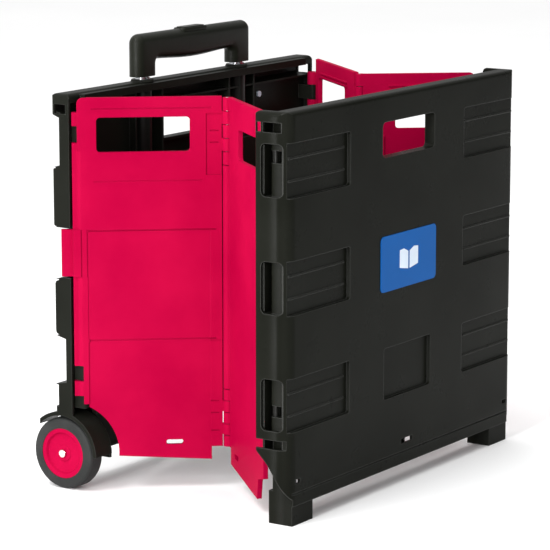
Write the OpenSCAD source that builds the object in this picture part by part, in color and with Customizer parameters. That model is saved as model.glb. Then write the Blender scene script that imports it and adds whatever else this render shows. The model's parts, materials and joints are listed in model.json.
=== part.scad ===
// Folding crate cart: two black end panels joined by four red side leaves that
// fold inward, a drop floor, two rear wheels and a telescoping handle.
// The front panel faces -Y, the wheels and the handle are at +Y.

/* [Crate] */
// Overall width of the end panels
cart_w = 446; // [380:1:480]
// Height of the rims above the ground
cart_h = 406; // [400:1:420]
// Angle of each side leaf: 0 is open, 78 is folded
fold_angle = 39.5; // [0:0.5:78]
// Distance between the two hinge pins of a side leaf
leaf_pitch = 146.2; // [140:0.1:160]
// Wall thickness of the black panels
wall = 3; // [2.5:0.1:3.5]
// Thickness of a side leaf
leaf_t = 5; // [4:0.1:5.5]

/* [End panels] */
// Depth of the front panel's side walls
front_depth = 38; // [36:1:42]
// Depth of the rear panel's side walls
rear_depth = 22; // [20:1:24]
// Depth of the recesses in the front face
front_recess = 4; // [2:0.5:5]
// Depth of the recesses in the rear face
rear_recess = 10; // [6:0.5:11]
// Radius of the front panel's corners, seen from above
corner_r = 14; // [6:1:16]
// Width of each foot
foot_w = 37; // [30:1:40]

/* [Hand holes] */
// Width of the hand holes in the end panels
hand_w = 102; // [80:1:110]
// Height of every hand hole
hand_h = 36; // [28:1:38]

/* [Handle] */
// Distance between the two handle tubes
tube_gap = 172; // [150:1:180]
// Outside diameter of the inner tube
inner_tube_d = 13; // [12:0.5:13.5]
// Travel of each of the two telescoping stages
stage_travel = 262; // [200:1:266]

/* [Wheels] */
// Tyre diameter
tyre_d = 74; // [66:1:76]
// Tyre width
tyre_w = 20; // [16:1:20]
// Axle diameter
axle_d = 6; // [5:0.5:8]

/* [Hidden] */
$fn = 48;
black = [0.17, 0.17, 0.15];
red = [0.85, 0.02, 0.28];
chrome = [0.82, 0.83, 0.85];
steel = [0.6, 0.6, 0.62];
blue = [0.0, 0.37, 0.67];

// Hinge layout, seen from above
knuckle_r = 6.4;                    // panel hinge knuckles; also the pin's depth below a leaf's face
front_pin_in = 20;                  // front hinge pin, behind the front face
rear_pin_in = 30;                   // rear hinge pin, in front of the rear face
pin_x = cart_w / 2 - wall - knuckle_r - 0.6;
leaf_p = sqrt(leaf_pitch * leaf_pitch - knuckle_r * knuckle_r);
half_span = leaf_p * cos(fold_angle) + knuckle_r * sin(fold_angle);
crate_d = front_pin_in + rear_pin_in + 2 * half_span;

// Wheel layout
axle_in = 8;                        // axle, in front of the rear face
axle_z = tyre_d / 2;
label_t = 0.8;                      // the label plate stands this far off the front face
total_d = label_t + crate_d - axle_in + tyre_d / 2;
y_front = -total_d / 2 + label_t;
y_rear = y_front + crate_d;
axle_y = y_rear - axle_in;
wheel_x = cart_w / 2 - 1 - tyre_w / 2;

// Heights shared by both end panels
skirt_z = 20;
rim_t = 9;                          // thickness of the rim's top band
rim_z = cart_h - rim_t;
row_h = 53;
row_z = [94, 209, 323];             // lower edges of the front panel's rows of recesses
rear_rows = [[112, 157, 15], [220, 268, rear_recess], [334, 382, rear_recess]];
rear_steps = [[86, 109, 5], [161, 216, 2.3]];   // zones of the rear corners that stand back a little
side_recess_x = 111;                // inner end of the corner recesses
centre_recess_x = 46;
hand_z = 342;
leg_z = 61;                         // below this the front panel is only as deep as its feet
leg_depth = 24;
foot_in = 10;

// Hinge pins, bores and gaps
rod_d = 5;
mid_pin_d = 4;
run_gap = 0.05;                     // radial clearance of a pin in its bore
part_gap = 0.6;                     // clearance between faces that move past each other
mid_r = 5;
ear_r = 4.2;

// Side leaves
rear_leaf_top = 403;
front_leaf_top = 402;
leaf_mid = 5.7;                     // the rear leaf's plate stops this far from the mid pin
rear_knuckles = [[99.5, 114.5], [130.5, 357.5], [374.5, 388]];
rear_ears = [[86, 98.8], [115.2, 129.8], [358.2, 373.8]];
front_knuckles = [[152, 204], [267, 318]];
front_ears = [[90, 108], [119, 151.3], [204.7, 266.3], [318.7, 356], [368, 380]];
tab_z = [222, 270];
mid_zone_low = [44, 104];
mid_zone_high = [334, 402];
mid_count = 5;
arc_r = 55;                         // the rear leaf's lower corner is cut to this radius

// Floor panel, folded up against the rear panel
floor_t = 6;
floor_front = 29.5;
floor_axis_z = 39;
floor_len = 291;
floor_w = 384;
floor_y = y_rear - floor_front + floor_t / 2;

// Handle tubes, one inside the next
tube_x = tube_gap / 2;
tube_y = y_rear - 13;
tube_wall = 1.2;
tube_gap_r = 0.3;
middle_tube_d = inner_tube_d + 2 * tube_gap_r + 2 * tube_wall;
outer_tube_d = middle_tube_d + 2 * tube_gap_r + 2 * tube_wall;
outer_tube_z = [46, rim_z];
stage_overlap = 83;                 // length still inside the rim when a stage is out
middle_tube_z = [rim_z - stage_travel - stage_overlap, cart_h + 3.5];
inner_tube_z = [middle_tube_z[0] + 6, cart_h + 24];
collar_t = 2;

// Grip
grip_leg_w = 33;
grip_w = tube_gap + grip_leg_w;
grip_z = cart_h + 5;
grip_bar_z = cart_h + 21;
grip_top = cart_h + 49;
grip_t = 18;
button_w = 38;
button_t = 11;
button_travel = 3;
bar_z = grip_bar_z + 9;             // underside of the release bar inside the grip

// Label plate
label_w = 108;
label_h = 57;
label_x = 0;
label_z = 205.5;

// ---------- shapes used more than once ----------

// A rectangle with round corners, from its lower left corner
module round_rect(w, h, r) {
  translate([r, 0]) square([w - 2 * r, h]);
  translate([0, r]) square([w, h - 2 * r]);
  for (x = [r, w - r], y = [r, h - r]) translate([x, y]) circle(r);
}

// A 2D shape in Y and Z, drawn along X between two places
module along_x(x0, x1) {
  translate([x0, 0, 0]) rotate([90, 0, 90]) linear_extrude(x1 - x0) children();
}

// A 2D shape in X and Z, drawn along Y between two places
module along_y(y0, y1) {
  translate([0, y1, 0]) rotate([90, 0, 0]) linear_extrude(y1 - y0) children();
}

// A box between two corners
module box(a, b) {
  translate(a) cube(b - a);
}

module both_sides() {
  children();
  mirror([1, 0, 0]) children();
}

module tube(d, z, t = tube_wall) {
  difference() {
    translate([0, 0, z[0]]) cylinder(d = d, h = z[1] - z[0]);
    translate([0, 0, z[0] - 1]) cylinder(d = d - 2 * t, h = z[1] - z[0] + 2);
  }
}

// ---------- front panel ----------

module front_plan() {
  w = cart_w;
  back_r = 2.5;
  translate([-w / 2 + corner_r, 0]) square([w - 2 * corner_r, front_depth]);
  translate([-w / 2, corner_r]) square([w, front_depth - corner_r - back_r]);
  translate([-w / 2 + back_r, corner_r]) square([w - 2 * back_r, front_depth - corner_r]);
  for (s = [-1, 1]) {
    translate([s * (w / 2 - corner_r), corner_r]) circle(corner_r);
    translate([s * (w / 2 - back_r), front_depth - back_r]) circle(back_r);
  }
}

// Side view: deep box above, shallow leg below, round top edges
module front_side_view() {
  r = 5;
  polygon([[0, skirt_z], [0, cart_h - r], [front_depth, cart_h - r], [front_depth, 75],
           [leg_depth, leg_z], [leg_depth, skirt_z]]);
  translate([r, cart_h - 2 * r]) square([front_depth - 2 * r, 2 * r]);
  for (y = [r, front_depth - r]) translate([y, cart_h - r]) circle(r);
}

// Front view: a plain rectangle with round top corners
module face_view(z0) {
  r = 6;
  translate([-cart_w / 2, z0]) square([cart_w, cart_h - r - z0]);
  translate([-cart_w / 2 + r, z0]) square([cart_w - 2 * r, cart_h - z0]);
  for (s = [-1, 1]) translate([s * (cart_w / 2 - r), cart_h - r]) circle(r);
}

module front_outer() {
  intersection() {
    linear_extrude(cart_h) front_plan();
    along_x(-cart_w / 2, cart_w / 2) front_side_view();
    along_y(0, front_depth) face_view(skirt_z);
  }
}

module front_hollow() {
  inner = cart_w / 2 - wall;
  r = corner_r - wall;
  translate([0, 0, skirt_z + wall]) linear_extrude(rim_z - skirt_z - wall) {
    translate([-inner, wall + r]) square([2 * inner, front_depth]);
    translate([-inner + r, wall]) square([2 * (inner - r), r + 1]);
    for (x = [r - inner, inner - r]) translate([x, wall + r]) circle(r);
  }
  // the rim stays 16 deep along the front and 4 wide at the sides
  box([-inner + 4, 16, rim_z - 1], [inner - 4, front_depth + 1, cart_h + 1]);
}

// The recesses of the front face: three rows at each corner, one at the bottom centre
module front_recesses(y0, y1, grow = 0) {
  h = row_h + 2 * grow;
  for (z = row_z) both_sides() along_y(y0, y1) translate([-cart_w / 2 - 10, z - grow])
    round_rect(cart_w / 2 + 10 - side_recess_x + grow, h, 3);
  along_y(y0, y1) translate([-centre_recess_x - grow, row_z[0] - grow])
    round_rect(2 * (centre_recess_x + grow), h, 3);
}

module front_ribs() {
  top = rim_z;
  for (x = [side_recess_x + 1, hand_w / 2 + 9]) both_sides()
    box([-x - 2.2, wall - 0.5, skirt_z + 1], [-x, 12, top]);
  for (z = [152, 205, 268, 317])
    box([-pin_x + 10, wall - 0.5, z - 1], [pin_x - 10, 11, z + 1]);
  // ledge that carries the front edge of the lowered floor
  box([-cart_w / 2 + 2, wall - 0.5, 28], [cart_w / 2 - 2, 18, 31]);
}

// Round ears that hold the hinge rod, each on a web from the front wall
module front_hinge_ears() {
  for (z = front_ears) both_sides() {
    box([-pin_x - ear_r, wall - 0.5, z[0]], [-pin_x + ear_r, front_pin_in, z[1]]);
    translate([-pin_x, front_pin_in, z[0]]) cylinder(r = ear_r, h = z[1] - z[0]);
  }
}

// Walls that close the space behind the side windows, between the leaf's knuckles
module hinge_pocket() {
  out = cart_w / 2 - 1;
  both_sides() {
    box([-204, wall - 0.5, skirt_z + 1], [-202, 12, rim_z]);
    for (z = [[skirt_z + 1, 150], [206.5, 264.5], [320.5, rim_z]]) {
      box([-204, wall - 0.5, z[0]], [-202, 31.5, z[1]]);
      box([-out, 29.5, z[0]], [-202, 31.5, z[1]]);
      for (h = [z[0] + 1, z[1] - 2]) box([-out, 7, h], [-202, 31.5, h + 2]);
    }
    // backing of the small slots over the skirt
    box([-out, 13, 36], [-190, 15, 52]);
    box([-192, wall - 0.5, 36], [-190, 15, 52]);
  }
  box([-18, 13, 30], [18, 15, 52]);
}

module front_foot() {
  both_sides()
    box([-cart_w / 2 + foot_in, 1.5, 0], [-cart_w / 2 + foot_in + foot_w, 28.5, 33]);
}

// Inner wall and sloping ceiling behind the taper of the lowest corner
module taper_walls() {
  both_sides() {
    box([-cart_w / 2 + foot_in, wall - 0.5, skirt_z + 1],
        [-cart_w / 2 + foot_in + wall, leg_depth, leg_z + 2]);
    along_x(-cart_w / 2 + 1, -cart_w / 2 + foot_in + wall)
      polygon([[1, skirt_z + 4 + 1.5], [leg_depth, leg_z], [leg_depth, leg_z + 2.5], [1, skirt_z + 8]]);
  }
}

// The foot is a hollow box, open at the top
module foot_hollow() {
  both_sides() box([-cart_w / 2 + foot_in + wall, 1.5 + wall, wall],
                   [-cart_w / 2 + foot_in + foot_w - wall, 28.5 - wall, leg_z]);
}

// The lowest corner tapers in to the foot
module leg_taper() {
  both_sides() along_x(-cart_w / 2 - 1, -cart_w / 2 + foot_in)
    polygon([[-1, skirt_z + 4], [leg_depth, leg_z], [60, leg_z], [60, -1], [-1, -1]]);
}

module hand_hole(y0, y1) {
  along_y(y0, y1) translate([-hand_w / 2, hand_z]) round_rect(hand_w, hand_h, 5);
}

module front_panel() {
  color(black) translate([0, y_front, 0]) difference() {
    union() {
      difference() {
        front_outer();
        front_hollow();
      }
      intersection() {
        front_outer();
        union() {
          front_recesses(wall - 0.5, front_recess + wall, wall);
          front_ribs();
          front_hinge_ears();
          hinge_pocket();
          taper_walls();
          // collar round the hand hole
          along_y(0.5, 12) translate([-hand_w / 2 - 3, hand_z - 3])
            round_rect(hand_w + 6, hand_h + 6, 7);
        }
      }
      front_foot();
    }
    front_recesses(-1, front_recess);
    foot_hollow();
    hand_hole(-1, 20);
    leg_taper();
    // windows in the side walls, where the hinge rod shows
    for (z = row_z) both_sides()
      along_x(-cart_w / 2 - 1, -cart_w / 2 + wall + 1)
        translate([7, z + 1]) round_rect(24, row_h - 2, 5);
    // slots under the rim and above the foot
    both_sides() {
      box([-cart_w / 2 - 1, 8.5, rim_z - 11], [-cart_w / 2 + wall + 2, 28.5, rim_z - 1.5]);
      box([-cart_w / 2 - 1, 31, rim_z - 11], [-cart_w / 2 + wall + 2, 36.5, rim_z - 1.5]);
      box([-cart_w / 2 - 1, 4, 77], [-cart_w / 2 + wall + 1, 40, 86]);
    }
    both_sides() translate([-pin_x, front_pin_in, 80])
      cylinder(r = rod_d / 2 + run_gap, h = 310);
    // groove above the skirt and the small slots over it
    box([-cart_w / 2 - 1, -1, 31.5], [cart_w / 2 + 1, 1.2, 33.3]);
    for (s = [-1, 1]) box([s * 205 - 4.5, -1, 42], [s * 205 + 4.5, wall + 1, 46.5]);
    box([-11, -1, 41], [11, wall + 1, 46.5]);
  }
  // ribs standing in the recesses
  color(black) translate([0, y_front, 0])
    for (z = row_z, dz = [16.5, 38.5]) both_sides()
      box([-cart_w / 2 + 6, front_recess - 1.3, z + dz - 1],
          [-side_recess_x - 7, front_recess + 0.5, z + dz + 1]);
}

// ---------- rear panel ----------

module rear_side_view() {
  r = 5;
  d = rear_depth;
  polygon([[-d, 78], [-d, cart_h - r], [0, cart_h - r], [0, 32], [-14, 32]]);
  translate([-d + r, cart_h - 2 * r]) square([d - 2 * r, 2 * r]);
  for (y = [-r, -d + r]) translate([y, cart_h - r]) circle(r);
}

module rear_outer() {
  r = 4;
  intersection() {
    along_x(-cart_w / 2, cart_w / 2) rear_side_view();
    along_y(-rear_depth - 1, 1) face_view(30);
    linear_extrude(cart_h) union() {
      translate([-cart_w / 2, -rear_depth - 1]) square([cart_w, rear_depth + 1 - r]);
      translate([-cart_w / 2 + r, -rear_depth - 1]) square([cart_w - 2 * r, rear_depth + 1]);
      for (s = [-1, 1]) translate([s * (cart_w / 2 - r), -r]) circle(r);
    }
  }
}

// Rows of recesses at the rear corners; the upper edge of each slopes
module rear_recesses(t = 0, grow = 0) {
  for (z = rear_rows) both_sides() along_x(-cart_w / 2 - 1, -side_recess_x + grow)
    polygon([[1, z[0] - grow - 3], [-z[2] - t, z[0] - grow], [-z[2] - t, z[1] + grow],
             [1, z[1] + grow + 4]]);
  for (z = rear_steps) both_sides()
    box([-cart_w / 2 - 1, -z[2] - t, z[0] - grow], [-side_recess_x + grow, 1, z[1] + grow]);
}

// Rounds the ends of the lands between the rear recesses
module rear_land_rounds() {
  r = 5;
  // how far each land stands back, its lower and its upper end
  for (l = [[2.3, 161, 217], [0, 272, 331]], e = [[l[1], 1], [l[2], -1]])
    both_sides() along_x(-cart_w / 2 - 1, -side_recess_x) difference() {
      translate([-l[0] - r, e[1] > 0 ? e[0] - 1 : e[0] - r]) square([r + l[0] + 1, r + 1]);
      translate([-l[0] - r, e[0] + e[1] * r]) circle(r);
    }
}

module wheel_arch() {
  plate_in = wheel_x - tyre_w / 2 - 2.5;
  translate([0, -axle_in, axle_z]) {
    // wheel well wall, with the axle's bearing bore
    along_x(-plate_in, -plate_in + 3.5) intersection() {
      circle(43);
      translate([-43, -3]) square([43 + axle_in, 60]);
    }
    along_x(-plate_in, -plate_in + 9) circle(9);
    // fender over the tyre
    along_x(-cart_w / 2, -plate_in + 3.5) difference() {
      circle(43.5);
      circle(39.5);
      translate([-60, -59]) square([120, 60]);
      translate([axle_in + 20, 0]) square([60, 34]);
    }
  }
}

// Room for the tyre
module wheel_well() {
  both_sides() translate([0, -axle_in, axle_z])
    along_x(-cart_w / 2 - 1, -wheel_x + tyre_w / 2 + 2.5) circle(39.5);
}

module rear_ribs() {
  for (x = [side_recess_x - 4, hand_w / 2 + 9]) both_sides()
    box([-x - 2.2, -21, 44], [-x, -wall + 0.5, rim_z]);
  for (z = [95, 150, 208, 264, 322, 384]) difference() {
    box([-cart_w / 2 + 2, -20, z - 1], [cart_w / 2 - 2, -wall + 0.5, z + 1]);
    both_sides() translate([-tube_x, -13, z - 2]) cylinder(d = outer_tube_d + 1, h = 4);
  }
}

module rear_hinge_ears() {
  for (z = rear_ears) both_sides() {
    box([-pin_x - ear_r, -rear_pin_in, z[0]], [-pin_x + ear_r, -6, z[1]]);
    translate([-pin_x, -rear_pin_in, z[0]]) cylinder(r = ear_r, h = z[1] - z[0]);
  }
}

module rear_panel() {
  color(black) translate([0, y_rear, 0]) difference() {
    union() {
      difference() {
        rear_outer();
        // hollow, open to the inside of the crate
        box([-cart_w / 2 + wall, -40, 34], [cart_w / 2 - wall, -wall, rim_z]);
      }
      intersection() {
        rear_outer();
        union() {
          rear_recesses(wall, wall);
          rear_ribs();
          along_y(-12, -0.5) translate([-hand_w / 2 - 3, hand_z - 3])
            round_rect(hand_w + 6, hand_h + 6, 7);
        }
      }
      // the rim is deeper between the corners, round the handle tubes
      box([-cart_w / 2 + 20, -27, rim_z], [cart_w / 2 - 20, -rear_depth + 4, cart_h - 1.5]);
      rear_hinge_ears();
      both_sides() wheel_arch();
      // bottom beam that holds the axle, and the floor's hinge ears
      for (x = [62, 120]) both_sides() box([-x - 4, -16, 30], [-x + 4, -1, 46]);
      both_sides() box([-192, -31, 34], [-184, -1, 44]);
    }
    rear_recesses();
    rear_land_rounds();
    wheel_well();
    hand_hole(-20, 1);
    // slots under the rim
    both_sides() box([-cart_w / 2 - 1, -rear_depth + 4, rim_z - 11],
                     [-cart_w / 2 + wall + 1, -4, rim_z - 1.5]);
    // clearance for the leaves' stop tabs
    both_sides() box([-cart_w / 2 - 1, -rear_depth - 1, tab_z[0] - 2],
                     [-cart_w / 2 + 16, 1, tab_z[1] + 1]);
    both_sides() {
      translate([-pin_x, -rear_pin_in, 80]) cylinder(r = rod_d / 2 + run_gap, h = 300);
      translate([-tube_x, -13, rim_z - 1]) cylinder(r = 11.3, h = rim_t + 2);
      // screws of the tube sockets
      for (z = [56, 66]) translate([-tube_x, 1, z]) rotate([90, 0, 0]) cylinder(r = 2.05, h = 6);
    }
    translate([-cart_w / 2 - 1, -axle_in, axle_z]) rotate([0, 90, 0])
      cylinder(r = axle_d / 2 + run_gap, h = cart_w + 2);
    translate([-200, -floor_front + floor_t / 2, floor_axis_z]) rotate([0, 90, 0])
      cylinder(r = mid_pin_d / 2 + run_gap, h = 400);
  }
}

// ---------- side leaves ----------
// A leaf is drawn in its own frame: X runs from its panel pin to its mid pin along the outer
// face, Y points into the crate, and the panel pin stands at [0, knuckle_r].

function split(zone, i) =
  let(h = (zone[1] - zone[0]) / mid_count) [zone[0] + i * h + 0.3, zone[0] + (i + 1) * h - 0.3];

// Knuckles of the mid hinge that belong to one leaf: odd ones to the rear leaf
module mid_knuckles(parity) {
  for (zone = [mid_zone_low, mid_zone_high], i = [0 : mid_count - 1]) if (i % 2 == parity)
    translate([leaf_p, 0, split(zone, i)[0]])
      cylinder(r = mid_r, h = split(zone, i)[1] - split(zone, i)[0]);
}

module mid_knuckle_room(parity) {
  for (zone = [mid_zone_low, mid_zone_high], i = [0 : mid_count - 1]) if (i % 2 == parity)
    translate([leaf_p, 0, split(zone, i)[0] - 0.6])
      cylinder(r = mid_r + part_gap, h = split(zone, i)[1] - split(zone, i)[0] + 1.2);
}

module panel_knuckles(list, reach) {
  for (z = list) {
    translate([0, knuckle_r, z[0]]) cylinder(r = knuckle_r, h = z[1] - z[0]);
    box([0, 0, z[0]], [reach, leaf_t, z[1]]);
  }
}

// Steps and grooves of the rear leaf's outer face; s is the side towards the mid hinge
module leaf_relief(s) {
  // the middle and the lower part stand back from the part above
  for (z = [[20, 156, 1], [157.5, 268, 0.5]])
    along_y(-1, z[2]) translate([5, z[0]]) round_rect(s - 5, z[1] - z[0], 2);
  for (z = [156, 268]) box([6, -1, z], [leaf_p - 12, 1.4, z + 1.5]);
  box([10, -1, 391], [leaf_p - 16, 0.5, 392.2]);
  box([12, -1, 318], [s - 8, 0.35, 319.2]);
  // blocks of the mid hinge
  box([s - 4, -1, mid_zone_high[0] - 10], [leaf_p - mid_r, 0.9, 386]);
  box([s, -1, mid_zone_low[0]], [leaf_p - mid_r, 0.9, 155]);
  for (z = [60, 78.5, 91, 356, 368]) box([s, -1, z], [leaf_p - 9, 1.8, z + 1.2]);
}

// Ribs under the leaf's top edge and a frame on the inner face
module leaf_trim() {
  for (z = [385, 389]) box([24, leaf_t - 0.5, z - 0.8], [leaf_p - 30, leaf_t + 1.5, z + 0.8]);
  for (x = [20, leaf_p - 26]) box([x, leaf_t - 0.5, 80], [x + 2, leaf_t + 1, 335]);
  for (z = [150, 262]) box([20, leaf_t - 0.5, z], [leaf_p - 24, leaf_t + 1, z + 2]);
}

// The outline of a leaf is given as children in X and Z
module leaf_body(knuckles, reach, parity) {
  difference() {
    union() {
      along_y(0, leaf_t) children();
      leaf_trim();
      panel_knuckles(knuckles, reach);
      mid_knuckles(parity);
    }
    mid_knuckle_room(1 - parity);
    for (x = [0, leaf_p]) translate([x, x > 0 ? 0 : knuckle_r, 10])
      cylinder(r = (x > 0 ? mid_pin_d : rod_d) / 2 + run_gap, h = 400);
  }
}

module leaf_hand_hole(z, h) {
  along_y(-5, leaf_t + 5) translate([14.8, z]) round_rect(93.6, h, 4);
}

module rear_outline() {
  difference() {
    union() {
      translate([5, 70]) square([leaf_p - leaf_mid - 5, rear_leaf_top - 70]);
      polygon([[20, 75], [20, 36.8], [33, 36.3], [129, 30.6], [129, 75]]);
      translate([100, mid_zone_low[0]]) square([leaf_p - leaf_mid - 100, 40]);
    }
    // the corner clears the wheel arch
    translate([-20.2, 39]) circle(arc_r);
  }
}

module rear_leaf() {
  difference() {
    union() {
      leaf_body(rear_knuckles, 6, 1) rear_outline();
      // webs of the mid knuckles
      for (zone = [mid_zone_low, mid_zone_high], i = [1, 3])
        difference() {
          box([leaf_p - 9, 0, split(zone, i)[0]], [leaf_p, mid_r - 0.5, split(zone, i)[1]]);
          translate([leaf_p, 0, 0]) cylinder(r = mid_pin_d / 2 + run_gap, h = 400);
        }
      // skin in front of the ears
      along_y(0, 1.6) {
        translate([-0.5, 91]) square([6, 260]);
        translate([-4.5, 350]) square([10, rear_leaf_top - 6 - 350]);
        translate([1.5, 350]) square([4, rear_leaf_top - 350]);
        translate([1.5, rear_leaf_top - 6]) circle(6);
      }
      // heels of the knuckles, and the stop tab that reaches past the pin
      difference() {
        union() {
          for (z = rear_knuckles) box([-9.5, 2, z[0]], [0, 9.5, z[1]]);
          box([-9.5, 0, tab_z[0]], [1, 10, tab_z[1]]);
        }
        translate([0, knuckle_r, 0]) cylinder(r = rod_d / 2 + run_gap, h = 400);
      }
      box([-21, 5.5, tab_z[0]], [-9, 10, tab_z[1]]);
    }
    leaf_relief(128.5);
    for (x = [-1.6, 4.4]) box([x, -1, tab_z[0]], [x + 1.2, 0.9, tab_z[1]]);
    leaf_hand_hole(348, 35);
    along_y(-1, 20) translate([83, 47]) round_rect(17, 5, 2);
  }
}

module front_outline() {
  r = 6;
  translate([22, 96]) square([leaf_p - 22, mid_zone_high[0] - 96]);
  translate([22, 300]) square([leaf_p - 22, front_leaf_top - r - 300]);
  translate([22 + r, 300]) square([leaf_p - 22 - r, front_leaf_top - 300]);
  translate([22 + r, front_leaf_top - r]) circle(r);
  polygon([[22, 100], [22, 40], [40, 35.5], [44, 14.5], [leaf_p - 9, 27], [leaf_p - 9, 44],
           [leaf_p, 44], [leaf_p, 100]]);
}

module front_leaf() {
  difference() {
    union() {
      leaf_body(front_knuckles, 23, 0) front_outline();
      // one long knuckle between the two zones
      difference() {
        translate([leaf_p, 0, mid_zone_low[1] + 0.5])
          cylinder(r = mid_r, h = mid_zone_high[0] - mid_zone_low[1] - 1);
        translate([leaf_p, 0, 0]) cylinder(r = mid_pin_d / 2 + run_gap, h = 400);
      }
    }
    leaf_hand_hole(343, 31);
    along_y(-1, 20) translate([110, 36]) round_rect(14, 5, 2);
  }
}

module place_rear_leaf() {
  translate([-pin_x, y_rear - rear_pin_in, 0]) rotate([0, 0, fold_angle - 90])
    translate([0, -knuckle_r, 0]) children();
}

module place_front_leaf() {
  translate([-pin_x, y_front + front_pin_in, 0]) rotate([0, 0, 90 - fold_angle])
    mirror([0, 1, 0]) translate([0, -knuckle_r, 0]) children();
}

module rear_leaf_left() { color(red) place_rear_leaf() rear_leaf(); }
module front_leaf_left() { color(red) place_front_leaf() front_leaf(); }
module rear_leaf_right() { mirror([1, 0, 0]) rear_leaf_left(); }
module front_leaf_right() { mirror([1, 0, 0]) front_leaf_left(); }

// ---------- hinge rods and pins ----------

module front_hinge_rod_left() {
  color(steel) translate([-pin_x, y_front + front_pin_in, 88]) cylinder(d = rod_d, h = 294);
}
module rear_hinge_rod_left() {
  color(steel) translate([-pin_x, y_rear - rear_pin_in, 87]) cylinder(d = rod_d, h = 300);
}
module mid_hinge_pins_left() {
  color(steel) place_rear_leaf() for (zone = [mid_zone_low, mid_zone_high])
    translate([leaf_p, 0, zone[0] + 0.3]) cylinder(d = mid_pin_d, h = zone[1] - zone[0] - 0.6);
}
module front_hinge_rod_right() { mirror([1, 0, 0]) front_hinge_rod_left(); }
module rear_hinge_rod_right() { mirror([1, 0, 0]) rear_hinge_rod_left(); }
module mid_hinge_pins_right() { mirror([1, 0, 0]) mid_hinge_pins_left(); }

// ---------- floor ----------

module floor_panel() {
  w = floor_w;
  top = floor_axis_z + floor_len;
  color(black) translate([0, floor_y, 0]) difference() {
    union() {
      along_y(-floor_t / 2, floor_t / 2) translate([-w / 2, floor_axis_z + 6])
        round_rect(w, floor_len - 6, 6);
      box([-182, -floor_t / 2, floor_axis_z - 2], [182, floor_t / 2, floor_axis_z + 12]);
      translate([-182, 0, floor_axis_z]) rotate([0, 90, 0]) cylinder(r = floor_t / 2 + 0.4, h = 364);
    }
    // finger notch in the free edge
    along_y(-10, 10) translate([-50, top - 12]) round_rect(100, 40, 10);
    // weight-saving grid on the underside
    for (i = [0 : 7], j = [0 : 5])
      box([-184 + i * 47, 0, 62 + j * 42], [-184 + i * 47 + 39, 10, 62 + j * 42 + 36]);
    translate([-w, 0, floor_axis_z]) rotate([0, 90, 0])
      cylinder(r = mid_pin_d / 2 + run_gap, h = 2 * w);
  }
}

module floor_hinge_pins() {
  color(steel) both_sides() translate([-194, floor_y, floor_axis_z]) rotate([0, 90, 0])
    cylinder(d = mid_pin_d, h = 30);
}

// ---------- handle ----------

module at_tube_left() {
  translate([-tube_x, tube_y, 0]) children();
}

module outer_tube_left() { color(black) at_tube_left() tube(outer_tube_d, outer_tube_z); }
module middle_tube_left() { color(chrome) at_tube_left() tube(middle_tube_d, middle_tube_z); }
module inner_tube_left() { color(chrome) at_tube_left() tube(inner_tube_d, inner_tube_z); }
module outer_tube_right() { mirror([1, 0, 0]) outer_tube_left(); }
module middle_tube_right() { mirror([1, 0, 0]) middle_tube_left(); }
module inner_tube_right() { mirror([1, 0, 0]) inner_tube_left(); }

// Bushing in the rim that guides the middle tube
module tube_collar_left() {
  color(black) at_tube_left() difference() {
    union() {
      translate([0, 0, rim_z]) cylinder(r = 11.2, h = rim_t);
      translate([0, 0, cart_h]) cylinder(r1 = 12.4, r2 = 11.4, h = collar_t);
    }
    translate([0, 0, rim_z - 1]) cylinder(r = middle_tube_d / 2 + tube_gap_r, h = 20);
  }
}
module tube_collar_right() { mirror([1, 0, 0]) tube_collar_left(); }

// Block screwed to the rear wall that carries the foot of the outer tube
module tube_socket_left() {
  color(black) at_tube_left() difference() {
    box([-12, -9.8, 44], [12, 13 - wall, 74]);
    translate([0, 0, outer_tube_z[0]]) cylinder(d = outer_tube_d + 0.1, h = 40);
    for (z = [56, 66]) translate([0, 14, z]) rotate([90, 0, 0]) cylinder(r = 1.6, h = 6);
  }
}
module tube_socket_right() { mirror([1, 0, 0]) tube_socket_left(); }

module socket_screws() {
  color(steel) both_sides() for (z = [56, 66]) translate([-tube_x, y_rear, z]) rotate([90, 0, 0]) {
    translate([0, 0, -1.6]) cylinder(r1 = 2.6, r2 = 3.8, h = 1.6);
    cylinder(r = 1.55, h = 3.2);
  }
}

// Front view of the grip: a bar with two legs
module grip_view() {
  r = 10;
  w = grip_w / 2;
  translate([-w, grip_z]) square([2 * w, grip_top - r - grip_z]);
  translate([-w + r, grip_z]) square([2 * w - 2 * r, grip_top - grip_z]);
  for (s = [-1, 1]) translate([s * (w - r), grip_top - r]) circle(r);
}

module grip_side() {
  t = grip_t / 2;
  translate([-t, grip_z]) square([2 * t, grip_top - t - grip_z]);
  translate([0, grip_top - t]) circle(t);
}

module handle_grip() {
  inner = tube_gap / 2 - grip_leg_w / 2;
  color(black) translate([0, tube_y, 0]) difference() {
    intersection() {
      along_y(-grip_t, grip_t) grip_view();
      along_x(-grip_w / 2, grip_w / 2) grip_side();
    }
    along_y(-grip_t, grip_t) translate([-inner, grip_z - 12])
      round_rect(2 * inner, grip_bar_z - grip_z + 12, 4);
    both_sides() translate([-tube_x, 0, grip_z - 1])
      cylinder(d = inner_tube_d + 0.1, h = inner_tube_z[1] - grip_z + 1);
    // room for the release bar, the rods and the button
    box([-tube_x - 5, -4.2, bar_z - button_travel - 3], [tube_x + 5, 4.2, bar_z + 6]);
    box([-button_w / 2 - 0.4, -button_t / 2 - 0.4, bar_z + 4.4 - button_travel],
        [button_w / 2 + 0.4, button_t / 2 + 0.4, grip_top + 1]);
  }
}

module release_button() {
  color(black) translate([0, tube_y, 0]) {
    translate([-button_w / 2, -button_t / 2, bar_z + 5]) linear_extrude(grip_top - bar_z - 3.6)
      round_rect(button_w, button_t, 3);
  }
}

module release_bar() {
  color(black) translate([0, tube_y, 0]) box([-tube_x - 4, -3.6, bar_z], [tube_x + 4, 3.6, bar_z + 5]);
}

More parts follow.
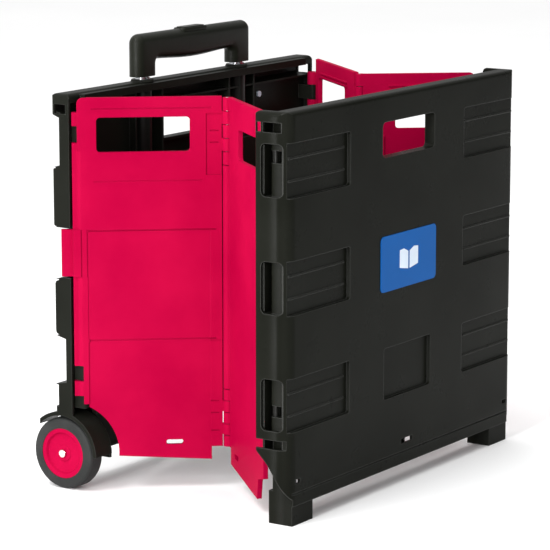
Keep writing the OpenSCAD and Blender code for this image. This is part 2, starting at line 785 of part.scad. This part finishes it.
module release_rod_left() {
  color(steel) at_tube_left() translate([0, 0, 70]) cylinder(d = 3, h = bar_z - 70);
}
module release_rod_right() { mirror([1, 0, 0]) release_rod_left(); }

// Return spring under the release bar: a round wire swept along a helix
spring_r = 2.8;
spring_wire = 0.7;
spring_turns = 3;
spring_steps = 16;
module button_spring() {
  h = button_travel + 3 - spring_wire;
  z0 = bar_z - button_travel - 3 + spring_wire / 2;
  n = spring_turns * spring_steps;
  sides = 8;
  points = [for (i = [0 : n], j = [0 : sides - 1])
    let(a = i * 360 / spring_steps, b = j * 360 / sides, r = spring_r + spring_wire / 2 * cos(b))
    [r * cos(a), r * sin(a), z0 + h * i / n + spring_wire / 2 * sin(b)]];
  faces = concat(
    [[for (j = [0 : sides - 1]) j]],
    [for (i = [0 : n - 1], j = [0 : sides - 1])
      [i * sides + j, (i + 1) * sides + j, (i + 1) * sides + (j + 1) % sides, i * sides + (j + 1) % sides]],
    [[for (j = [sides - 1 : -1 : 0]) n * sides + j]]);
  color(steel) translate([0, tube_y, 0]) polyhedron(points, faces);
}

// ---------- wheels ----------

// A profile in radius and width, turned about the axle; X = 0 is the wheel's middle
module turned() {
  translate([-wheel_x, axle_y, axle_z]) rotate([0, -90, 0]) rotate_extrude($fn = 96) children();
}

module tyre_left() {
  r = 4;
  color(black) turned() {
    translate([tyre_d / 2 - 11, -tyre_w / 2]) {
      square([11 - r, tyre_w]);
      translate([0, r]) square([11, tyre_w - 2 * r]);
      for (y = [r, tyre_w - r]) translate([11 - r, y]) circle(r);
    }
  }
}

module hub_left() {
  color(red) turned() difference() {
    translate([axle_d / 2 + run_gap, -tyre_w / 2 + 0.5])
      square([tyre_d / 2 - 11 - axle_d / 2 - run_gap, tyre_w - 1]);
    // dish in the outer face, and a hollow inner face
    polygon([[8, tyre_w / 2 - 2], [9, tyre_w / 2 - 3], [20, tyre_w / 2 - 3], [22, tyre_w / 2],
             [22, tyre_w], [axle_d / 2 - 2, tyre_w], [axle_d / 2 - 2, tyre_w / 2 - 2]]);
    polygon([[10, -tyre_w], [10, -2], [21, -2], [22, -tyre_w]]);
  }
}
module tyre_right() { mirror([1, 0, 0]) tyre_left(); }
module hub_right() { mirror([1, 0, 0]) hub_left(); }

module axle_rod() {
  l = cart_w - 3;
  color(steel) translate([-l / 2, axle_y, axle_z]) rotate([0, 90, 0]) cylinder(d = axle_d, h = l);
}

// Push-on cap over each end of the axle
module axle_cap_left() {
  color(chrome) translate([-cart_w / 2 + 1.5, axle_y, axle_z]) rotate([0, -90, 0])
    rotate_extrude() intersection() {
      translate([0, -6]) circle(8.6);
      square([axle_d / 2 + 0.8, 3]);
    }
}
module axle_cap_right() { mirror([1, 0, 0]) axle_cap_left(); }

// ---------- label and rivets ----------

module label_plate() {
  color(blue) along_y(y_front - label_t, y_front) translate([label_x - label_w / 2, label_z])
    round_rect(label_w, label_h, 5);
}

// Rivets with pale heads on the inner face of the rear wall, at the right hand recess
module panel_rivets() {
  color([0.85, 0.85, 0.82]) for (z = [345, 371])
    translate([128, y_rear - rear_recess - wall - 2, z]) rotate([-90, 0, 0])
      cylinder(r = 3.4, h = 2);
}

front_panel();
rear_panel();
rear_leaf_left();
rear_leaf_right();
front_leaf_left();
front_leaf_right();
front_hinge_rod_left();
front_hinge_rod_right();
rear_hinge_rod_left();
rear_hinge_rod_right();
mid_hinge_pins_left();
mid_hinge_pins_right();
floor_panel();
floor_hinge_pins();
outer_tube_left();
outer_tube_right();
middle_tube_left();
middle_tube_right();
inner_tube_left();
inner_tube_right();
tube_collar_left();
tube_collar_right();
tube_socket_left();
tube_socket_right();
socket_screws();
handle_grip();
release_button();
release_bar();
release_rod_left();
release_rod_right();
button_spring();
tyre_left();
tyre_right();
hub_left();
hub_right();
axle_rod();
axle_cap_left();
axle_cap_right();
label_plate();
panel_rivets();
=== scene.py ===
"""Looks for the folding crate cart: materials, grip, label mark, floor, light and camera."""

import json
import math

import bmesh
import bpy
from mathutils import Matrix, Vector


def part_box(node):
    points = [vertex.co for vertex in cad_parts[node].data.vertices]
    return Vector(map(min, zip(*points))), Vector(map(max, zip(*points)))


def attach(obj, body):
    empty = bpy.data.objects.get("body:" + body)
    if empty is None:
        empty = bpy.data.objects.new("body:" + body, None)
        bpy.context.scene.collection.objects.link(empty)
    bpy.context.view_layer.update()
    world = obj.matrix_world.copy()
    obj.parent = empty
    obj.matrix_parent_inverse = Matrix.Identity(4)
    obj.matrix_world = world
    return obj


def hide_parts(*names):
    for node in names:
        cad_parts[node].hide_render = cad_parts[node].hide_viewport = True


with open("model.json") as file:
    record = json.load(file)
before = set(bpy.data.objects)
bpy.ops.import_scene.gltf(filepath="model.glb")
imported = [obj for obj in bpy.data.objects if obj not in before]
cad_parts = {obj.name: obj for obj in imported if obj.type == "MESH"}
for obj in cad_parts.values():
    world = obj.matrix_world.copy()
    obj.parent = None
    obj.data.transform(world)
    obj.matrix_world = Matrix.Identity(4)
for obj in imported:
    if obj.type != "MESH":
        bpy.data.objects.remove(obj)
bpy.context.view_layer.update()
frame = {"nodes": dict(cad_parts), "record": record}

MM = 0.001
NODES = frame["nodes"]


# ---------- camera ----------

VIEW_AZIMUTH = math.radians(-56.34)
VIEW_ELEVATION = math.radians(10.57)
VIEW_DISTANCE = 2.952
VIEW_TARGET = Vector((-0.0075, 0.0022, 0.2010))
LENS = 184.2
SENSOR_WIDTH = 36
CLIP_END = 150


def make_camera():
    """The camera, at a distance from its target along the viewing direction."""
    back = Vector(
        (
            math.sin(VIEW_AZIMUTH) * math.cos(VIEW_ELEVATION),
            -math.cos(VIEW_AZIMUTH) * math.cos(VIEW_ELEVATION),
            math.sin(VIEW_ELEVATION),
        )
    )
    data = bpy.data.cameras.new("camera")
    data.sensor_width = SENSOR_WIDTH
    data.lens = LENS
    data.clip_end = CLIP_END
    cam = bpy.data.objects.new("camera", data)
    cam.location = VIEW_TARGET + back * VIEW_DISTANCE
    cam.rotation_mode = "QUATERNION"
    cam.rotation_quaternion = (-back).to_track_quat("-Z", "Y")
    bpy.context.scene.collection.objects.link(cam)
    bpy.context.scene.camera = cam


# ---------- materials ----------


class Shader:
    """A small helper that builds one node material."""

    def __init__(self, name):
        self.mat = bpy.data.materials.new(name)
        self.mat.use_nodes = True
        self.tree = self.mat.node_tree
        self.bsdf = self.tree.nodes["Principled BSDF"]
        self.coord = self.add("ShaderNodeTexCoord")

    def add(self, kind, **values):
        node = self.tree.nodes.new(kind)
        for key, value in values.items():
            if key in node.inputs:
                node.inputs[key].default_value = value
            else:
                setattr(node, key, value)
        return node

    def link(self, out, into):
        self.tree.links.new(out, into)

    def noise(self, scale, detail=3.0, rough=0.55, stretch=None):
        node = self.add("ShaderNodeTexNoise", Scale=scale, Detail=detail, Roughness=rough)
        where = self.coord.outputs["Object"]
        if stretch:
            mapping = self.add("ShaderNodeMapping")
            mapping.inputs["Scale"].default_value = stretch
            self.link(where, mapping.inputs["Vector"])
            where = mapping.outputs["Vector"]
        self.link(where, node.inputs["Vector"])
        return node.outputs["Fac"]

    def ramp(self, fac, stops):
        node = self.add("ShaderNodeValToRGB")
        ramp = node.color_ramp
        while len(ramp.elements) < len(stops):
            ramp.elements.new(0.5)
        for element, (place, colour) in zip(ramp.elements, stops):
            element.position = place
            element.color = (*colour, 1)
        self.link(fac, node.inputs["Fac"])
        return node.outputs["Color"]

    def span(self, fac, low, high):
        node = self.add("ShaderNodeMapRange")
        node.inputs["To Min"].default_value = low
        node.inputs["To Max"].default_value = high
        self.link(fac, node.inputs["Value"])
        return node.outputs["Result"]

    def mix(self, fac, a, b):
        node = self.add("ShaderNodeMix", data_type="RGBA")
        self.link(fac, node.inputs[0])
        for value, socket in ((a, node.inputs[6]), (b, node.inputs[7])):
            if isinstance(value, tuple):
                socket.default_value = (*value, 1)
            else:
                self.link(value, socket)
        return node.outputs[2]

    def edge_mask(self, rounded, amount):
        """Grows toward amount where the rounded normal turns away from the flat face, so along edges."""
        geo = self.add("ShaderNodeNewGeometry")
        same = self.add("ShaderNodeVectorMath", operation="DOT_PRODUCT")
        self.link(rounded, same.inputs[0])
        self.link(geo.outputs["Normal"], same.inputs[1])
        mask = self.add("ShaderNodeMapRange", interpolation_type="SMOOTHSTEP")
        mask.inputs["From Min"].default_value = 0.995
        mask.inputs["From Max"].default_value = 0.85
        mask.inputs["To Max"].default_value = amount
        self.link(same.outputs["Value"], mask.inputs["Value"])
        return mask.outputs["Result"]

    def bump(self, height, strength, distance, below=None):
        node = self.add("ShaderNodeBump", Strength=strength, Distance=distance)
        self.link(height, node.inputs["Height"])
        if below is not None:
            self.link(below, node.inputs["Normal"])
        return node.outputs["Normal"]

    def finish(self, colour, rough, normal=None):
        self.link(colour, self.bsdf.inputs["Base Color"])
        self.link(rough, self.bsdf.inputs["Roughness"])
        if normal is not None:
            self.link(normal, self.bsdf.inputs["Normal"])
        return self.mat


def crowned_normal(s, below, middle_y, half_depth, slope, rise):
    """A normal that leans with Y, and a little up, on faces that look sideways, as on a crowned wall."""
    where = s.add("ShaderNodeSeparateXYZ")
    s.link(s.coord.outputs["Object"], where.inputs[0])
    lean = s.add("ShaderNodeMapRange")
    lean.inputs["From Min"].default_value = middle_y - half_depth
    lean.inputs["From Max"].default_value = middle_y + half_depth
    lean.inputs["To Min"].default_value = -slope
    lean.inputs["To Max"].default_value = slope
    s.link(where.outputs["Y"], lean.inputs["Value"])
    geo = s.add("ShaderNodeNewGeometry")
    side = s.add("ShaderNodeSeparateXYZ")
    s.link(geo.outputs["True Normal"], side.inputs[0])
    flat = s.add("ShaderNodeMath", operation="ABSOLUTE")
    s.link(side.outputs["X"], flat.inputs[0])
    mask = s.add("ShaderNodeMapRange", interpolation_type="SMOOTHSTEP")
    mask.inputs["From Min"].default_value = 0.80
    mask.inputs["From Max"].default_value = 0.99
    s.link(flat.outputs[0], mask.inputs["Value"])
    amount = s.add("ShaderNodeMath", operation="MULTIPLY")
    s.link(lean.outputs["Result"], amount.inputs[0])
    s.link(mask.outputs["Result"], amount.inputs[1])
    lift = s.add("ShaderNodeMath", operation="MULTIPLY")
    lift.inputs[1].default_value = rise
    s.link(mask.outputs["Result"], lift.inputs[0])
    shift = s.add("ShaderNodeCombineXYZ")
    s.link(amount.outputs[0], shift.inputs["Y"])
    s.link(lift.outputs[0], shift.inputs["Z"])
    total = s.add("ShaderNodeVectorMath", operation="ADD")
    s.link(below, total.inputs[0])
    s.link(shift.outputs[0], total.inputs[1])
    unit = s.add("ShaderNodeVectorMath", operation="NORMALIZE")
    s.link(total.outputs[0], unit.inputs[0])
    return unit.outputs[0]


def moulded_plastic(name, colour, rough, grain, specular=0.4, edge_highlight=0.25, edge_radius=0.0, crown=None):
    """Injection-moulded plastic: cloudy colour, fine spark grain, rounded edges with a painted highlight
    that makes them paler.
    """
    s = Shader(name)
    s.bsdf.inputs["Specular IOR Level"].default_value = specular
    dark = tuple(c * 0.86 for c in colour)
    light = tuple(min(1.0, c * 1.12 + 0.002) for c in colour)
    cloud = s.noise(9.0, 4.0)
    tone = s.ramp(cloud, [(0.3, dark), (0.7, light)])
    below = None
    tone_with_edge_highlight = tone
    # Painted highlight: along rounded edges the colour is mixed toward a paler copy (colour * 1.5 +
    # 0.035), standing in for light caught on the edges.
    if edge_radius:
        below = s.add("ShaderNodeBevel", samples=6, Radius=edge_radius * MM).outputs["Normal"]
        tone_with_edge_highlight = s.mix(s.edge_mask(below, edge_highlight), tone, tuple(min(1.0, c * 1.5 + 0.035) for c in colour))
    fine = s.noise(1400.0, 2.0)
    smear = s.noise(30.0, 5.0, 0.6)
    if crown:
        below = crowned_normal(s, below, *crown)
    bump = s.bump(fine, grain, 0.0004, below)
    bump = s.bump(s.noise(60.0, 2.0), 0.05, 0.001, bump)
    return s.finish(tone_with_edge_highlight, s.span(smear, rough - 0.06, rough + 0.08), bump)


def plated_metal(name, colour, rough, streak):
    """Plated or bare metal with fine drawn lines; streak stretches the lines along an axis."""
    s = Shader(name)
    s.bsdf.inputs["Metallic"].default_value = 1.0
    lines = s.noise(300.0, 3.0, 0.6, streak)
    tone = s.ramp(s.noise(14.0), [(0.35, tuple(c * 0.9 for c in colour)), (0.65, colour)])
    return s.finish(tone, s.span(lines, rough * 0.7, rough * 1.5), s.bump(lines, 0.04, 0.0002))


def tyre_rubber(name):
    """Matt black rubber with a little dust."""
    s = Shader(name)
    s.bsdf.inputs["Specular IOR Level"].default_value = 0.15
    clean, dusty = (0.016, 0.017, 0.0165), (0.028, 0.029, 0.028)
    dust = s.ramp(s.noise(22.0, 6.0, 0.65), [(0.45, clean), (0.75, dusty)])
    return s.finish(dust, s.span(s.noise(50.0), 0.5, 0.68), s.bump(s.noise(1800.0), 0.25, 0.0004))


def label_plastic(name, colour):
    """The printed label's smooth face."""
    s = Shader(name)
    s.bsdf.inputs["Specular IOR Level"].default_value = 0.06
    tone = s.ramp(s.noise(12.0), [(0.3, tuple(c * 0.9 for c in colour)), (0.7, colour)])
    return s.finish(tone, s.span(s.noise(60.0), 0.28, 0.36), s.bump(s.noise(900.0), 0.05, 0.0003))


def floor_paint(name):
    """The plain pale studio floor."""
    s = Shader(name)
    tone = s.ramp(s.noise(1.5), [(0.3, (0.91, 0.91, 0.91)), (0.7, (0.93, 0.93, 0.93))])
    return s.finish(tone, s.span(s.noise(4.0), 0.7, 0.85))


FRONT_LOW, FRONT_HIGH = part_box("front_panel")
FRONT_HALF = (FRONT_HIGH[1] - FRONT_LOW[1]) / 2
FRONT_CROWN = (FRONT_LOW[1] + 1.5 * FRONT_HALF, FRONT_HALF, 0.42, 0.16)
BLACK = moulded_plastic("black_plastic", (0.0072, 0.0078, 0.0058), 0.30, 0.35, 0.035, 0.7, 0.9)
# The front panel gets a copy of the black plastic with a darker base colour: painted shade for its front
# face. Its edges also carry the strongest painted edge highlight (sixth argument).
SHADED_FRONT = moulded_plastic(
    "black_front_shaded", (0.0060, 0.0065, 0.0046), 0.28, 0.30, 0.028, 1.0, 1.5, FRONT_CROWN
)
GRIP = moulded_plastic("grip_plastic", (0.0066, 0.0075, 0.0046), 0.30, 0.6, 0.11)
RED = moulded_plastic("red_plastic", (0.308, 0.0001, 0.029), 0.44, 0.10, 0.01, 0.04, 0.8)
PAINT = moulded_plastic("black_metal", (0.008, 0.008, 0.007), 0.32, 0.05, 0.15)
WHITE = moulded_plastic("white_plastic", (0.62, 0.70, 0.80), 0.4, 0.1, 0.1)
STEEL = plated_metal("plated_steel", (0.60, 0.60, 0.62), 0.3, (1, 1, 8))
CHROME = plated_metal("chrome_tube", (0.50, 0.51, 0.53), 0.16, (1, 1, 0.2))
CAP = plated_metal("cap_metal", (0.80, 0.79, 0.77), 0.28, (1, 1, 1))
TYRE = tyre_rubber("tyre_rubber")
LABEL = label_plastic("label_blue", (0.0, 0.092, 0.35))

SLOT_MATERIAL = {
    "black_plastic": BLACK,
    "grip_plastic": GRIP,
    "red_plastic": RED,
    "tyre_rubber": TYRE,
    "steel": STEEL,
    "chrome_tube": CHROME,
    "cap_metal": CAP,
    "black_metal": PAINT,
    "label_blue": LABEL,
    "white_plastic": WHITE,
}


# ---------- CAD nodes ----------

def dress_nodes():
    """Gives each CAD node its material, smooth curved faces and crisp edges."""
    slot_of = {p["node"]: p["material_slot"] for p in frame["record"]["subparts"]}
    for name, obj in NODES.items():
        obj.data.materials.clear()
        obj.data.materials.append(SHADED_FRONT if name == "front_panel" else SLOT_MATERIAL[slot_of[name]])
        for polygon in obj.data.polygons:
            polygon.use_smooth = True
        weld = obj.modifiers.new("weld", "WELD")
        weld.merge_threshold = 0.00002
        sharp = obj.modifiers.new("sharp", "EDGE_SPLIT")
        sharp.split_angle = math.radians(32)


# ---------- made in mesh code ----------


def mesh_piece(name, verts, faces, material, split):
    """An object from a list of points in millimetres and faces, smooth up to the split angle."""
    mesh = bpy.data.meshes.new(name)
    mesh.from_pydata([(x * MM, y * MM, z * MM) for x, y, z in verts], [], faces)
    mesh.materials.append(material)
    for polygon in mesh.polygons:
        polygon.use_smooth = True
    obj = bpy.data.objects.new(name, mesh)
    bpy.context.scene.collection.objects.link(obj)
    sharp = obj.modifiers.new("sharp", "EDGE_SPLIT")
    sharp.split_angle = math.radians(split)
    return obj


def turn_faces_outward(obj):
    """Makes every face of a closed piece look away from its inside."""
    bm = bmesh.new()
    bm.from_mesh(obj.data)
    bmesh.ops.recalc_face_normals(bm, faces=bm.faces)
    bm.to_mesh(obj.data)
    bm.free()


def arc(cx, cz, r, start, end, steps):
    """Points along an arc, with its two angles in degrees."""
    for i in range(steps + 1):
        a = math.radians(start + (end - start) * i / steps)
        yield cx + r * math.cos(a), cz + r * math.sin(a)


GRIP_LEG = 33
GRIP_BAR_BOTTOM = 16
GRIP_OUTER_ROUND = 10
GRIP_INNER_ROUND = 4
GRIP_SWELL = 3


def grip_chains(inset, box_low, box_high):
    """Outer and inner edge of the grip seen from the front, both moved into the solid by inset."""
    half = box_high[0]
    bottom, top = box_low[2], box_high[2]
    inner, bar = half - GRIP_LEG, bottom + GRIP_BAR_BOTTOM
    outer_r, inner_r = GRIP_OUTER_ROUND, GRIP_INNER_ROUND
    outer = [(-half + inset, bottom), (-half + inset, bottom + 8)]
    outer += arc(-half + outer_r, top - outer_r, outer_r - inset, 180, 90, 10)
    inside = [(-inner - inset, bottom), (-inner - inset, bottom + 4)]
    inside += arc(-inner + inner_r, bar - inner_r, inner_r + inset, 180, 90, 10)
    left, right = outer[-1][0], inside[-1][0]
    for i in range(1, 12):
        t = i / 12
        outer.append((left * (1 - 2 * t), top - inset))
        x = right * (1 - 2 * t)
        inside.append((x, bar + inset - GRIP_SWELL * (1 - (x / inner) ** 2) ** 2))
    for chain in (outer, inside):
        chain += [(-x, z) for x, z in reversed(chain[: 13])]
    return outer, inside


def make_grip():
    """The pull bar: a U with fully rounded edges and a bar that swells at its middle."""
    low, high = (tuple(v / MM for v in corner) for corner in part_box("handle_grip"))
    middle = (low[1] + high[1]) / 2
    radius = (high[1] - low[1]) / 2 - 0.1
    steps = 7
    layers = []
    for i in range(steps + 1):
        a = math.pi / 2 * i / steps
        layers.append((radius * (1 - math.cos(a)), radius * math.sin(a)))
    outer = [(grip_chains(d, low, high)[0], -h) for d, h in reversed(layers)]
    outer += [(grip_chains(d, low, high)[0], h) for d, h in layers[1:]]
    inside = [(grip_chains(d, low, high)[1], h) for d, h in reversed(layers)]
    inside += [(grip_chains(d, low, high)[1], -h) for d, h in layers[1:]]
    ring = outer + inside
    stations = len(ring[0][0])
    verts = [(chain[s][0], middle + y, chain[s][1]) for s in range(stations) for chain, y in ring]
    n = len(ring)
    faces = []
    for s in range(stations - 1):
        for i in range(n):
            j = (i + 1) % n
            faces.append((s * n + i, s * n + j, (s + 1) * n + j, (s + 1) * n + i))
    faces.append(tuple(reversed(range(n))))
    faces.append(tuple((stations - 1) * n + i for i in range(n)))
    grip = mesh_piece("grip_moulding", verts, faces, GRIP, 60)
    turn_faces_outward(grip)
    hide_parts("handle_grip")
    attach(grip, "handle_upper")


def round_loop(half_x, half_y, r, steps=5):
    """A rectangle with round corners about the origin, counterclockwise."""
    points = []
    for sx, sy, start in ((1, 1, 0), (-1, 1, 90), (-1, -1, 180), (1, -1, 270)):
        points += arc(sx * (half_x - r), sy * (half_y - r), r, start, start + 90, steps)
    return points


def bezel(name, centre, outer, inner, profile, axes, body, material):
    """A closed frame of any profile between two rounded loops; axes places (u, v, height) points."""
    loops = []
    for t, h in profile:
        size = [o + (i - o) * t for o, i in zip(outer, inner)]
        loops.append([axes(u, v, h, centre) for u, v in round_loop(*size)])
    n = len(loops[0])
    count = len(loops)
    verts = [p for loop in loops for p in loop]
    faces = []
    for k in range(count):
        m = (k + 1) % count
        for i in range(n):
            j = (i + 1) % n
            faces.append((k * n + i, k * n + j, m * n + j, m * n + i))
    obj = mesh_piece(name, verts, faces, material, 40)
    turn_faces_outward(obj)
    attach(obj, body)
    return obj


def facing_up(u, v, h, c):
    """Places a frame that lies level, with its height along Z."""
    return (c[0] + u, c[1] + v, c[2] + h)


def make_button_frame():
    """The raised rim round the release button, on top of the grip."""
    low, high = (tuple(v / MM for v in corner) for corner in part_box("release_button"))
    centre = ((low[0] + high[0]) / 2, (low[1] + high[1]) / 2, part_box("handle_grip")[1][2] / MM)
    bezel(
        "button_frame", centre, (22.5, 7.6, 4.5), (19.4, 5.9, 3),
        ((0, -3), (0, -0.4), (0.3, 0.5), (0.8, 0.6), (1, 0.1), (1, -3)),
        facing_up, "handle_upper", GRIP,
    )


MARK_PROUD = 0.06
MARK_ROOT = 0.1


def make_label_mark():
    """A plain open-book mark in white on the label: two slanted pages with a gap at the spine."""
    low, high = (tuple(v / MM for v in corner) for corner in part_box("label_plate"))
    cx, cz = (low[0] + high[0]) / 2, (low[2] + high[2]) / 2
    front, back = low[1] - MARK_PROUD, low[1] + MARK_ROOT
    page = [(1.4, -10.5), (18.0, -7.7), (18.0, 10.5), (10.0, 11.3), (1.4, 7.7)]
    verts, faces = [], []
    for side in (-1, 1):
        start, n = len(verts), len(page)
        loop = [(cx + side * x, cz + z) for x, z in page]
        verts += [(x, front, z) for x, z in loop] + [(x, back, z) for x, z in loop]
        faces.append(tuple(start + i for i in range(n)))
        faces.append(tuple(start + n + i for i in reversed(range(n))))
        for i in range(n):
            j = (i + 1) % n
            faces.append((start + i, start + j, start + n + j, start + n + i))
    mark = mesh_piece("label_mark", verts, faces, WHITE, 30)
    turn_faces_outward(mark)
    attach(mark, "front_frame")


# ---------- floor and light ----------

FLOOR_SIZE = 80
SKY_BRIGHT_SIDE = (-0.42, 0.28, 0.86)
SKY_DIM, SKY_BRIGHT = 0.12, 1.16


def plane(name, size, material):
    """A flat square about the origin."""
    mesh = bpy.data.meshes.new(name)
    h = size / 2
    mesh.from_pydata([(-h, -h, 0), (h, -h, 0), (h, h, 0), (-h, h, 0)], [], [(0, 1, 2, 3)])
    mesh.materials.append(material)
    obj = bpy.data.objects.new(name, mesh)
    bpy.context.scene.collection.objects.link(obj)
    return obj


def soft_light(name, place, target, size, power):
    """A rectangular studio light that faces its target."""
    data = bpy.data.lights.new(name, "AREA")
    data.shape = "RECTANGLE"
    data.size, data.size_y = size
    data.energy = power
    obj = bpy.data.objects.new(name, data)
    obj.location = place
    aim = Vector(target) - Vector(place)
    obj.rotation_mode = "QUATERNION"
    obj.rotation_quaternion = aim.to_track_quat("-Z", "Y")
    bpy.context.scene.collection.objects.link(obj)


def make_studio():
    """Floor, a sky that is brighter above and to the left, and four soft lights."""
    plane("floor", FLOOR_SIZE, floor_paint("floor_paint"))
    world = bpy.data.worlds.new("studio")
    bpy.context.scene.world = world
    world.use_nodes = True
    tree = world.node_tree
    coord = tree.nodes.new("ShaderNodeTexCoord")
    side = tree.nodes.new("ShaderNodeVectorMath")
    side.operation = "DOT_PRODUCT"
    side.inputs[1].default_value = SKY_BRIGHT_SIDE
    level = tree.nodes.new("ShaderNodeMapRange")
    level.inputs["From Min"].default_value = -0.35
    level.inputs["From Max"].default_value = 0.55
    level.inputs["To Min"].default_value = SKY_DIM
    level.inputs["To Max"].default_value = SKY_BRIGHT
    tree.links.new(coord.outputs["Generated"], side.inputs[0])
    tree.links.new(side.outputs["Value"], level.inputs["Value"])
    background = tree.nodes["Background"]
    background.inputs["Color"].default_value = (1, 1, 1, 1)
    tree.links.new(level.outputs["Result"], background.inputs["Strength"])
    soft_light("key", (-3.0, -0.25, 0.8), (0, 0, 0.2), (0.35, 1.6), 84)
    soft_light("left", (-1.7, -1.5, 1.0), (-0.1, -0.1, 0.25), (0.5, 0.9), 3)
    soft_light("over", (-1.8, 0.3, 2.4), (0.1, 0, 0.3), (0.8, 0.8), 34)
    soft_light("top", (-0.2, 0.5, 3.2), (0, 0.2, 0), (3.0, 3.0), 42)


make_camera()
make_studio()
dress_nodes()
make_grip()
make_button_frame()
make_label_mark()
bpy.context.scene.view_settings.view_transform = "Standard"


bpy.context.view_layer.update()
